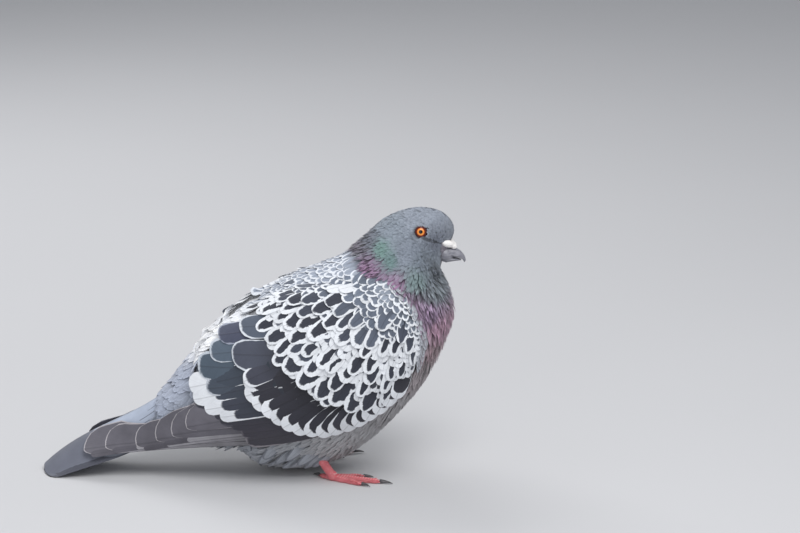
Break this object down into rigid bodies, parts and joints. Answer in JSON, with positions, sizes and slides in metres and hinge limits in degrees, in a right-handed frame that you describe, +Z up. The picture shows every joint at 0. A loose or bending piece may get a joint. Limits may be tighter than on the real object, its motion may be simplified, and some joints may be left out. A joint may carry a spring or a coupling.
{
  "type": "pigeon",
  "caption": "Feral pigeon as a still life-size model, squatting low with its wings folded and its tail tip on the floor.",
  "frame": {"origin": "on the floor, under the middle of the bird's box", "axes": "+X forwards along the bird, tail to bill; +Y to the bird's left; +Z up"},
  "size_m": [0.27, 0.106, 0.1724],
  "materials": {
    "head_plumage": "soft blue-grey feathers",
    "neck_plumage": "glossy feathers, green above and purple below",
    "body_plumage": "soft grey feathers",
    "wing_plumage": "dark slate feathers with broad white edges",
    "flight_plumage": "smooth brownish grey flight feathers with thin pale edges",
    "tail_plumage": "smooth grey tail feathers with a darker end",
    "bill_horn": "dark grey horn",
    "cere_skin": "powdery white bare skin",
    "eye": "wet orange iris with a black pupil",
    "leg_skin": "pinkish red scaly skin",
    "claw_horn": "dark grey horn"
  },
  "bodies": {
    "root": {"head": "head_plumage", "neck": "neck_plumage", "trunk": "body_plumage", "wing_left": "wing_plumage", "wing_right": "wing_plumage", "primaries_left": "flight_plumage", "primaries_right": "flight_plumage", "tail": "tail_plumage", "bill_upper": "bill_horn", "bill_lower": "bill_horn", "cere": "cere_skin", "eye_left": "eye", "eye_right": "eye", "leg_left": "leg_skin", "leg_right": "leg_skin", "claw_left_inner": "claw_horn", "claw_left_middle": "claw_horn", "claw_left_outer": "claw_horn", "claw_left_hind": "claw_horn", "claw_right_inner": "claw_horn", "claw_right_middle": "claw_horn", "claw_right_outer": "claw_horn", "claw_right_hind": "claw_horn"}
  },
  "joints": []
}
